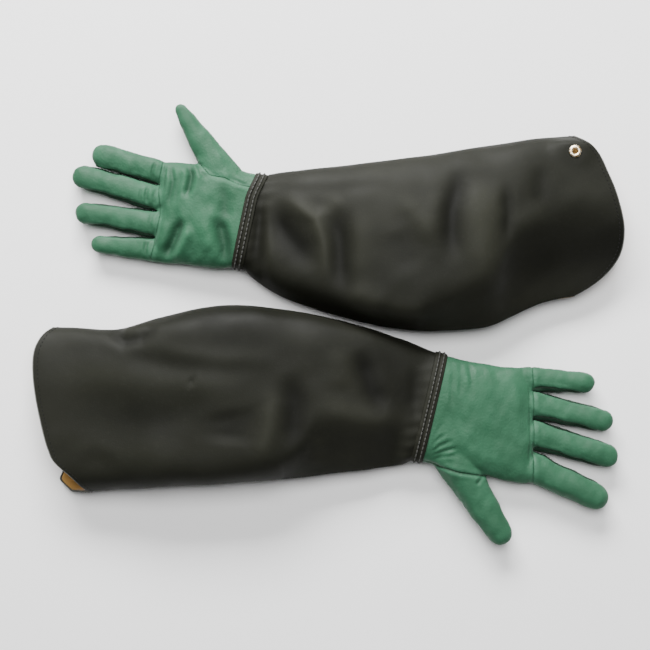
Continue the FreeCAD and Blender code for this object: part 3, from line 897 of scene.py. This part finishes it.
def sleeve_shape(glove, grid):
    """The sleeve's points with their soft folds, and the height of the folds at each point."""
    g = GLOVES[glove]
    n = grid_normals(grid).reshape(-1, 3)
    flat = grid.reshape(-1, 3)
    top = smooth(n[:, 2] / 0.45)
    folds = sum(
        -crease(flat, line, FOLD_SPREAD * width, FOLD_HEIGHT * height, 0.35, 0.1)
        for line, width, height in SLEEVE_FOLDS[glove]
    )
    from_eyelet = np.linalg.norm(flat[:, :2] - np.array(g["eyelet"]), axis=1)
    calm = smooth((from_eyelet - 9) / 22)
    from_seam = -along_arm(g, flat)
    ease = smooth((from_seam - 4) / 10)
    body = smooth((from_seam - 10) / 30)
    rough = 0.7 * wave_noise(flat * (1, 0.6, 1), 70.0, 21) * (0.25 + 0.75 * top)
    rough = rough + 0.1 * wave_noise(flat, 26.0, 22)
    gather = 0.35 * wave_noise(flat * (0.25, 1, 1), 15.0, 23)
    gather = gather * smooth((from_seam - 3) / 5) * smooth((34 - from_seam) / 26)
    shift = (folds * top * ease + rough * body) * calm + gather
    moved = flat + n * shift[:, None]
    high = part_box(f"{glove}_eyelet")[1][2] / MM
    same_layer = smooth((moved[:, 2] - 27) / 9) if g["palm"] > 0 else moved[:, 2] < 8
    seat = high - 1.1 if g["palm"] > 0 else 0.3
    pull = (1 - smooth((from_eyelet - 8) / 22)) * same_layer
    moved[:, 2] += pull * (seat - moved[:, 2])
    moved[:, 2] = np.maximum(moved[:, 2], 0.3)
    return moved.reshape(grid.shape), folds * top * ease


def outward(obj, middle):
    """Makes an open shell's faces look away from the line through its middle."""
    total = 0.0
    for face in list(obj.data.polygons)[::97]:
        away = face.center - middle
        away.x = 0
        total += face.normal.dot(away)
    if total < 0:
        obj.data.flip_normals()


def cut_hole(obj, centre, radius, upper):
    """Removes the faces round the eyelet, on the layer that it is in."""
    bm = bmesh.new()
    bm.from_mesh(obj.data)
    gone = []
    for face in bm.faces:
        c = face.calc_center_median()
        near = math.hypot(c.x - centre[0], c.y - centre[1]) < radius
        if near and (c.z > 0.02) == upper:
            gone.append(face)
    bmesh.ops.delete(bm, geom=gone, context="FACES")
    bm.to_mesh(obj.data)
    bm.free()


def sleeve_pieces(glove, cloth, lining_cloth):
    g = GLOVES[glove]
    rows, columns = ((250, 220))
    outer, folds = sleeve_shape(glove, sleeve_grid(glove, rows, columns))
    n = grid_normals(outer)
    inner = (outer - n * (SLEEVE_CLOTH + PLY_GAP))[: rows - 1]
    inner[:, :, 2] = np.maximum(inner[:, :, 2], 1.7)
    eyelet = to_row(glove, (*g["eyelet"], 0))[0]
    made = {}
    for node, points, material, thickness in (
        ("sleeve_outer", outer, cloth, SLEEVE_CLOTH),
        ("sleeve_lining", inner, lining_cloth, LINING),
    ):
        verts = to_row(glove, points)
        obj = new_object(f"{glove}_{node}_cloth", verts, grid_faces(len(points), columns), material)
        # The fold mark drives the painted shade and highlight of the folds in the cloth's colour.
        mark(obj, "fold", folds[: len(verts)])
        outward(obj, Vector(to_row(glove, points.reshape(-1, 3).mean(axis=0))[0]))
        cut_hole(obj, eyelet, 0.0042, g["palm"] > 0)
        thicken(obj, thickness)
        made[node] = obj
    return made, outer, n


def tube_along(points, sides, radii, count=10, start=0.0):
    """A closed tube round a closed loop; sides gives two directions at each point."""
    angles = start + np.linspace(0, 2 * math.pi, count, endpoint=False)
    first, second = sides
    ring = (
        points[:, None, :]
        + first[:, None, :] * (np.cos(angles) * radii[0])[None, :, None]
        + second[:, None, :] * (np.sin(angles) * radii[1])[None, :, None]
    )
    verts = ring.reshape(-1, 3)
    faces, n = [], len(points)
    for i in range(n):
        for j in range(count):
            k, m = (j + 1) % count, (i + 1) % n
            faces.append((i * count + j, m * count + j, m * count + k, i * count + k))
    return verts, faces


def mouth_pieces(glove, outer, n, edge_material, stitch_material):
    """The pale cut edge that binds the sleeve's mouth, and the row of stitches behind it."""
    rim = outer[-1] - n[-1] * 0.95
    away = outer[-1] - outer[-3]
    away /= np.linalg.norm(away, axis=1, keepdims=True)
    rim = rim - away * 0.2
    rim[:, 2] = np.maximum(rim[:, 2], 0.95)
    verts, faces = tube_along(rim, (n[-1], away), (1.15, 0.85))
    verts[:, 2] = np.maximum(verts[:, 2], 0.05)
    binding = new_object(f"{glove}_mouth_binding", to_row(glove, verts), faces, edge_material)
    shade_smooth(binding)
    line, up = row_behind(outer, n, 4.5)
    name = f"{glove}_mouth_stitches"
    stitches = stitch_row(name, glove, line + up * 0.12, up, 2.6, 1.5, 0.42, stitch_material)
    return {"mouth_hem": binding, "mouth_stitching": stitches}


def row_behind(outer, n, distance):
    """The closed line on the sleeve's face that lies `distance` back from its mouth."""
    steps = np.linalg.norm(np.diff(outer[::-1], axis=0), axis=2)
    gone = np.cumsum(steps, axis=0)
    line, up = np.zeros_like(outer[-1]), np.zeros_like(outer[-1])
    for j in range(outer.shape[1]):
        i = int(np.searchsorted(gone[:, j], distance))
        before = gone[i - 1, j] if i else 0.0
        t = (distance - before) / (gone[i, j] - before)
        a, b = -1 - i, -2 - i
        line[j] = outer[a, j] * (1 - t) + outer[b, j] * t
        up[j] = n[a, j] * (1 - t) + n[b, j] * t
    return line, up / np.linalg.norm(up, axis=1, keepdims=True)


def stitch_row(name, glove, line, up, length, gap, radius, material):
    """Short rounded stitches along a closed line that lies on a surface."""
    points = np.concatenate([line, line[:1]])
    ups = np.concatenate([up, up[:1]])
    steps = np.linalg.norm(np.diff(points, axis=0), axis=1)
    gone = np.concatenate([[0], np.cumsum(steps)])
    count = max(2, int(gone[-1] / (length + gap)))
    pitch = gone[-1] / count

    def at(table, s):
        return np.array([np.interp(s, gone, table[:, k]) for k in range(3)])

    along = np.array([-1.0, -0.86, -0.4, 0.0, 0.4, 0.86, 1.0])
    swell = np.maximum(np.sqrt(np.clip(1 - along**2, 0, 1)) ** 0.6, 0.05)
    angles = 2 * math.pi * np.arange(6) / 6
    stitches = []
    for middle in (np.arange(count) + 0.5) * pitch:
        lift = at(ups, middle)
        side = np.cross(lift, at(points, middle + 0.3) - at(points, middle - 0.3))
        side /= max(np.linalg.norm(side), 1e-9)
        round_it = np.outer(np.cos(angles), side) + np.outer(np.sin(angles), lift)
        rings = []
        for a, w in zip(along, swell):
            centre = at(points, middle + a * length / 2) - lift * 0.35 * radius * a * a
            rings.append(centre + round_it * radius * w)
        stitches.append(closed_tube(rings))
    verts, faces = joined(stitches)
    verts[:, 2] = np.maximum(verts[:, 2], 0.05)
    obj = new_object(name, to_row(glove, verts), faces, material)
    shade_smooth(obj)
    return obj


BAND_PROFILE = [
    (-6.6, 0.35), (-6.3, 1.25), (-5.4, 1.6), (-4.3, 1.5), (-3.7, 1.75), (-3.1, 2.25), (-2.5, 2.4),
    (-1.9, 2.25), (-1.3, 1.75), (-0.6, 1.35), (0.4, 1.35), (1.1, 1.7), (1.7, 2.2), (2.3, 2.35),
    (2.9, 2.2), (3.5, 1.7), (4.3, 1.35), (5.2, 1.2), (5.8, 0.75), (5.9, 0.2), (0.0, 0.1),
]
BAND_RIDGES = (-2.5, 2.3)


def band_pieces(glove, cloth, stitch_material):
    """The black band over the wrist seam, with two stitched ridges."""
    g = GLOVES[glove]
    count = 220
    px, py = superellipse(2.7, 2.5, count)
    sections = []
    for along, offset in BAND_PROFILE:
        over, z = wrist_ring(g, px, py, offset)
        sections.append(place_on_arm(g, np.full(count, along), over, z))
    grid = np.array(sections)
    ripple = 0.16 * wave_noise(grid.reshape(-1, 3), 9.0, 31).reshape(grid.shape[:2])
    grid = grid + grid_normals(grid) * ripple[:, :, None] * (np.array(BAND_PROFILE)[:, 1] > 1)[:, None, None]
    grid[:, :, 2] = np.maximum(grid[:, :, 2], 0.2)
    faces = grid_faces(len(grid), count, looped=True)
    band = new_object(f"{glove}_wrist_band_cloth", to_row(glove, grid), faces, cloth)
    recalculate_normals(band)
    shade_smooth(band)
    rows = []
    for n, ridge in enumerate(BAND_RIDGES):
        over, z = wrist_ring(g, px, py, 2.42)
        line = place_on_arm(g, np.full(count, ridge), over, z)
        up = line - place_on_arm(g, np.full(count, ridge), *wrist_ring(g, px, py, 0.5))
        up /= np.maximum(np.linalg.norm(up, axis=1, keepdims=True), 1e-6)
        name = f"{glove}_wrist_stitches_{n}"
        rows.append(stitch_row(name, glove, line, up, 4.3, 0.4, 0.68, stitch_material))
    return {"wrist_band": band}, rows


def lathe(name, glove, profile, centre, material, count=48):
    """A turned ring: profile gives (radius, height) pairs round the closed section."""
    verts = []
    for r, h in profile:
        for a in np.linspace(0, 2 * math.pi, count, endpoint=False):
            verts.append((centre[0] + r * math.cos(a), centre[1] + r * math.sin(a), centre[2] + h))
    obj = new_object(name, to_row(glove, verts), grid_faces(len(profile), count, looped=True), material)
    recalculate_normals(obj)
    shade_smooth(obj)
    return obj


def eyelet_pieces(glove, material):
    """A brass eyelet: a rolled flange, a barrel through the cloth and the washer behind it."""
    g = GLOVES[glove]
    low, high = (c[2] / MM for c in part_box(f"{glove}_eyelet"))
    washer_low, washer_high = (c[2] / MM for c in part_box(f"{glove}_eyelet_washer"))
    top = high - low
    if g["palm"] > 0:
        rim = top - 0.8
        flange = [(2.5, 0.0), (2.5, rim), (2.75, rim + 0.9), (3.5, rim + 1.35), (4.7, rim + 1.3),
                  (5.8, rim + 0.85), (6.4, rim + 0.1), (6.1, rim - 0.1), (3.1, rim - 0.05), (3.0, 0.0)]
    else:
        flange = [(2.5, 0.1), (2.5, top - 0.5), (2.8, top), (4.2, top + 0.25), (5.6, top - 0.1),
                  (6.0, top - 0.6), (3.1, top - 0.7), (3.0, 0.1)]
    t = washer_high - washer_low
    ring = [(3.03, 0.0), (5.3, 0.0), (5.6, t * 0.35), (5.4, t), (4.4, t * 0.8), (3.03, t)]
    return {
        "eyelet": lathe(f"{glove}_eyelet_brass", glove, flange, (*g["eyelet"], low), material),
        "eyelet_washer": lathe(
            f"{glove}_eyelet_washer_brass", glove, ring, (*g["eyelet"], washer_low), material
        ),
    }


# ---- Materials ----------------------------------------------------------------------------------


class Nodes:
    """Shorthand for building a material's nodes."""

    def __init__(self, name):
        self.material = bpy.data.materials.new(name)
        self.material.use_nodes = True
        self.tree = self.material.node_tree
        self.shader = self.tree.nodes["Principled BSDF"]
        self.place = self.tree.nodes.new("ShaderNodeTexCoord").outputs["Object"]

    def add(self, kind, inputs=(), **settings):
        node = self.tree.nodes.new(kind)
        for key, value in settings.items():
            setattr(node, key, value)
        for key, value in dict(inputs).items():
            if hasattr(value, "is_output"):
                self.tree.links.new(value, node.inputs[key])
            else:
                node.inputs[key].default_value = value
        return node

    def texture(self, kind, scale, detail=(), **settings):
        inputs = {"Vector": self.place, "Scale": scale, **dict(detail)}
        return self.add("ShaderNodeTex" + kind, inputs, **settings).outputs

    def noise(self, scale, detail=4.0, roughness=0.55, distortion=0.0):
        rest = {"Detail": detail, "Roughness": roughness, "Distortion": distortion}
        return self.texture("Noise", scale, rest)["Fac"]

    def cells(self, scale):
        return self.texture("Voronoi", scale)["Distance"]

    def waves(self, scale, distortion, direction="X"):
        return self.texture("Wave", scale, {"Distortion": distortion}, bands_direction=direction)["Fac"]

    def ramp(self, value, stops):
        node = self.add("ShaderNodeValToRGB", {"Fac": value})
        ramp = node.color_ramp
        while len(ramp.elements) < len(stops):
            ramp.elements.new(0.5)
        for element, (position, color) in zip(ramp.elements, stops):
            element.position = position
            element.color = (*color, 1)
        return node.outputs["Color"]

    def span(self, value, low, high, to_low, to_high):
        return self.add(
            "ShaderNodeMapRange",
            {"Value": value, "From Min": low, "From Max": high, "To Min": to_low, "To Max": to_high},
        ).outputs["Result"]

    def mix(self, factor, a, b, blend="MIX"):
        node = self.add("ShaderNodeMix", data_type="RGBA", blend_type=blend)
        for index, value in ((0, factor), (6, a), (7, b)):
            socket = node.inputs[index]
            if hasattr(value, "is_output"):
                self.tree.links.new(value, socket)
            else:
                socket.default_value = value if index == 0 else (*value, 1)
        return node.outputs[2]

    def math(self, operation, a, b=0.5):
        node = self.add("ShaderNodeMath", operation=operation)
        for index, value in enumerate((a, b)):
            if hasattr(value, "is_output"):
                self.tree.links.new(value, node.inputs[index])
            else:
                node.inputs[index].default_value = value
        return node.outputs[0]

    def painted_fold_shade_and_highlight(self, reach, low, high):
        """Painted shade and highlight: how much darker a valley is, and how much paler a ridge, from the
        height of the folds.
        """
        fold = self.add("ShaderNodeAttribute", attribute_name="fold").outputs["Fac"]
        share = self.span(fold, -reach, reach, 0.0, 1.0)
        return self.ramp(share, [(0.0, (low,) * 3), (0.5, (1, 1, 1)), (1.0, (high,) * 3)])

    def bump(self, height, strength, distance, normal=None):
        inputs = {"Height": height, "Strength": strength, "Distance": distance}
        if normal is not None:
            inputs["Normal"] = normal
        return self.add("ShaderNodeBump", inputs).outputs["Normal"]

    def set(self, **values):
        for key, value in values.items():
            socket = self.shader.inputs[key.replace("_", " ")]
            if hasattr(value, "is_output"):
                self.tree.links.new(value, socket)
            else:
                socket.default_value = value


def green_leather(name="green_leather", tone=1.0):
    """Soft grained leather, darker in its seams and rubbed paler beside them, with painted shade in the
    valleys of its folds and a painted highlight on their ridges.
    """
    m = Nodes(name)
    blotch = m.noise(28.0, 5.0, 0.6)
    fine = m.noise(190.0, 4.0, 0.6)
    colors = ((0.0145, 0.064, 0.031), (0.0185, 0.077, 0.0385), (0.025, 0.094, 0.049))
    colors = [tuple(c * tone for c in row) for row in colors]
    color = m.ramp(blotch, list(zip((0.3, 0.52, 0.72), colors)))
    speck = m.span(fine, 0.3, 0.7, 0.88, 1.1)
    color = m.mix(1.0, color, m.ramp(speck, [(0.0, (0.8, 0.8, 0.8)), (1.0, (1, 1, 1))]), "MULTIPLY")
    gap = m.add("ShaderNodeAttribute", attribute_name="seam_gap").outputs["Fac"]
    in_seam = m.span(gap, 0.1, 1.5, 0.85, 0.0)
    color = m.mix(in_seam, color, (0.004, 0.02, 0.009))
    worn = m.math("MULTIPLY", m.span(gap, 2.0, 6.0, 0.5 * tone, 0.0), m.span(gap, 1.0, 2.2, 0.0, 1.0))
    color = m.mix(worn, color, (0.038, 0.12, 0.068))
    # Painted shade in the fold valleys and a painted highlight on the fold ridges.
    color = m.mix(1.0, color, m.painted_fold_shade_and_highlight(4.0, 0.62, 1.25), "MULTIPLY")
    pores = m.cells(900.0)
    grain = m.cells(420.0)
    wrinkle = m.noise(75.0, 6.0, 0.65, 0.4)
    normal = m.bump(wrinkle, 0.35, 0.0012)
    normal = m.bump(grain, 0.28, 0.0005, normal)
    normal = m.bump(pores, 0.16, 0.00025, normal)
    rough = m.span(m.noise(60.0, 4.0), 0.3, 0.7, 0.5, 0.68)
    m.set(Base_Color=color, Roughness=rough, Normal=normal, Specular_IOR_Level=0.22)
    m.set(Sheen_Weight=0.06, Sheen_Roughness=0.45)
    return m.material


def black_cloth(name="black_sleeve_cloth", tone=1.0):
    """Smooth leather-look cloth with a fine pressed grain and a low broad sheen, with strong painted shade
    in the valleys of its folds and a painted highlight on their ridges.
    """
    m = Nodes(name)
    broad = m.noise(7.0, 4.0, 0.55)
    fine = m.noise(240.0, 3.0, 0.6)
    dark, pale = (0.0070, 0.0074, 0.0049), (0.0113, 0.0117, 0.0082)
    dark, pale = (tuple(c * tone for c in row) for row in (dark, pale))
    color = m.ramp(broad, [(0.3, dark), (0.7, pale)])
    color = m.mix(m.span(fine, 0.55, 0.8, 0.0, 0.3), color, (0.0165, 0.0168, 0.0130))
    # Painted shade in the fold valleys and a painted highlight on the fold ridges.
    color = m.mix(1.0, color, m.painted_fold_shade_and_highlight(4.5, 0.35, 1.7), "MULTIPLY")
    grain = m.cells(650.0)
    soft = m.noise(45.0, 5.0, 0.6)
    normal = m.bump(soft, 0.18, 0.001)
    normal = m.bump(grain, 0.14, 0.0003, normal)
    rough = m.span(m.noise(22.0, 5.0, 0.6), 0.3, 0.7, 0.52, 0.64)
    m.set(Base_Color=color, Roughness=rough, Normal=normal, Specular_IOR_Level=0.11)
    return m.material


def tan_lining():
    """Woven backing: two crossing sets of threads."""
    m = Nodes("tan_lining")
    weave = m.math("MULTIPLY", m.waves(420.0, 1.2, "X"), m.waves(420.0, 1.2, "Y"))
    stain = m.noise(30.0, 4.0, 0.6)
    color = m.ramp(stain, [(0.3, (0.34, 0.185, 0.038)), (0.7, (0.44, 0.25, 0.058))])
    color = m.mix(m.span(weave, 0.0, 0.5, 0.45, 0.0), color, (0.17, 0.08, 0.015))
    m.set(Base_Color=color, Roughness=0.85, Normal=m.bump(weave, 0.5, 0.0004))
    m.set(Sheen_Weight=0.3, Sheen_Roughness=0.5)
    return m.material


def thread(name, color):
    m = Nodes(name)
    twist = m.waves(900.0, 2.0)
    tone = m.mix(m.span(twist, 0.0, 1.0, 0.0, 0.5), color, tuple(c * 0.6 for c in color))
    m.set(Base_Color=tone, Roughness=0.75, Normal=m.bump(twist, 0.4, 0.0002))
    m.set(Specular_IOR_Level=0.2)
    return m.material


def brass():
    m = Nodes("brass")
    tarnish = m.noise(500.0, 4.0, 0.6)
    worn = [(0.38, (0.52, 0.33, 0.13)), (0.5, (0.70, 0.60, 0.42)), (0.62, (0.78, 0.74, 0.66))]
    color = m.ramp(tarnish, worn)
    m.set(Base_Color=color, Metallic=1.0, Roughness=m.span(tarnish, 0.3, 0.7, 0.2, 0.38))
    m.set(Normal=m.bump(m.noise(900.0, 2.0), 0.1, 0.0001))
    return m.material


# ---- Build --------------------------------------------------------------------------------------

GREEN = green_leather()
# A darker copy of the green leather for the fourchettes: painted shade on the sides of the fingers.
SHADED_GREEN = green_leather("shaded_green_leather", 0.25)
BLACK = black_cloth()
TAN = tan_lining()
GREY_THREAD = thread("grey_thread", (0.06, 0.06, 0.056))
DARK_THREAD = thread("dark_thread", (0.006, 0.006, 0.0055))
EDGE = thread("cut_edge", (0.085, 0.085, 0.078))
BAND = black_cloth("black_band_cloth", 1.2)
BRASS = brass()


def attach_hand(glove, panels):
    for label, obj in panels.items():
        part = label.split("_")[0]
        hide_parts(f"{glove}_{label}")
        if part in FINGERS:
            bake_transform(obj)
        elif part == "thumb":
            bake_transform(obj)
        else:
            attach(obj, f"{glove}_hand")


def attach_sleeve(glove, pieces):
    for node, obj in pieces.items():
        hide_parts(f"{glove}_{node}")
        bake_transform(obj)


def attach_rigid(glove, body, pieces):
    for node, obj in pieces.items():
        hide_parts(f"{glove}_{node}")
        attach(obj, f"{glove}_{body}")


def cut_size(glove, inset):
    """The girth, length and area in metres of a sleeve's cloth before it was sewn into a tube.

    They are the smooth sleeve's own, `inset` mm below its outside, and a little more for the folds.
    """
    grid = sleeve_grid(glove, 60, 120)
    closed = np.concatenate([grid, grid[:, :1]], axis=1)
    along, around = np.diff(closed, axis=0), np.diff(closed, axis=1)
    area = np.linalg.norm(np.cross(along[:, :-1], around[:-1]), axis=2).sum()
    length = np.linalg.norm(along, axis=2).sum(axis=0).max()
    girth = np.linalg.norm(around, axis=2).sum(axis=1).max() - 2 * math.pi * inset
    area -= 2 * math.pi * inset * length
    ease = FOLD_EASE ** 0.5
    return girth * ease * MM, length * ease * MM, area * FOLD_EASE * MM * MM


def declare_sheets(glove, pieces, trim):
    outer, lining = pieces["sleeve_outer"], pieces["sleeve_lining"]
    inner = SLEEVE_CLOTH + PLY_GAP
    for obj, under, sewn, inset in ((outer, "floor", trim, 0.0), (lining, outer, (), inner)):
        width, length, area = cut_size(glove, inset)


for glove in GLOVES:
    attach_hand(glove, leather_hand(glove, GREEN, SHADED_GREEN))
    pieces, outer_grid, outer_normals = sleeve_pieces(glove, BLACK, TAN)
    attach_sleeve(glove, pieces)
    trim = mouth_pieces(glove, outer_grid, outer_normals, EDGE, DARK_THREAD)
    attach_rigid(glove, "sleeve", trim)
    declare_sheets(glove, pieces, trim.values())
    attach_rigid(glove, "sleeve", eyelet_pieces(glove, BRASS))
    band, rows = band_pieces(glove, BAND, GREY_THREAD)
    attach_rigid(glove, "hand", band)
    for row in rows:
        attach(row, f"{glove}_hand")
    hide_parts(f"{glove}_wrist_stitching")


# ---- Stage, light and camera --------------------------------------------------------------------


def stage():
    """A plain floor, with a softly lit wall round it for the low views."""
    corners = [(x * FLOOR_HALF, y * FLOOR_HALF, 0) for x, y in ((-1, -1), (1, -1), (1, 1), (-1, 1))]
    m = Nodes("pale_floor")
    tone = m.ramp(m.noise(3.0, 3.0), [(0.3, (0.9, 0.9, 0.9)), (0.7, (0.93, 0.93, 0.93))])
    m.set(Base_Color=tone, Roughness=0.9, Specular_IOR_Level=0.1)
    floor = new_object("floor", corners, [(0, 1, 2, 3)], m.material)
    floor.location = (0, 0, FLOOR_Z)
    angles = np.linspace(0, 2 * math.pi, 96, endpoint=False)
    round_it = [(BACKDROP_RADIUS * math.cos(a), BACKDROP_RADIUS * math.sin(a)) for a in angles]
    ring = [(x, y, z) for z in (FLOOR_Z, BACKDROP_HEIGHT) for x, y in round_it]
    m = Nodes("pale_backdrop")
    tone = m.ramp(m.noise(1.5, 2.0), [(0.3, (0.8, 0.8, 0.8)), (0.7, (0.84, 0.84, 0.84))])
    m.set(Base_Color=tone, Roughness=0.95, Emission_Color=(1, 1, 1, 1), Emission_Strength=0.68)
    new_object("backdrop", ring, grid_faces(2, 96), m.material)


def area_light(name, location, target, size, power):
    light = bpy.data.lights.new(name, "AREA")
    light.shape = "RECTANGLE"
    light.size, light.size_y = size
    light.energy = power
    obj = bpy.data.objects.new(name, light)
    obj.location = location
    obj.rotation_euler = (Vector(target) - Vector(location)).to_track_quat("-Z", "Y").to_euler()
    bpy.context.scene.collection.objects.link(obj)


def camera():
    """Straight above the pair, as far off as makes VIEW_WIDTH fill the picture."""
    data = bpy.data.cameras.new("camera")
    data.lens = LENS
    data.sensor_width = SENSOR
    data.clip_start, data.clip_end = 0.05, 20.0
    obj = bpy.data.objects.new("camera", data)
    obj.location = (-0.004, -0.001, VIEW_WIDTH * LENS / SENSOR + 0.025)
    bpy.context.scene.collection.objects.link(obj)
    bpy.context.scene.camera = obj


stage()
area_light("key", (-0.35, 2.1, 1.25), (0, 0, 0), (1.8, 0.8), 196.0)
area_light("top", (0, 0.85, 2.65), (0, 0, 0), (2.4, 1.5), 97.0)
world = bpy.data.worlds.new("world")
world.use_nodes = True
world.node_tree.nodes["Background"].inputs["Color"].default_value = (1, 1, 1, 1)
world.node_tree.nodes["Background"].inputs["Strength"].default_value = 0.14
bpy.context.scene.world = world
camera()
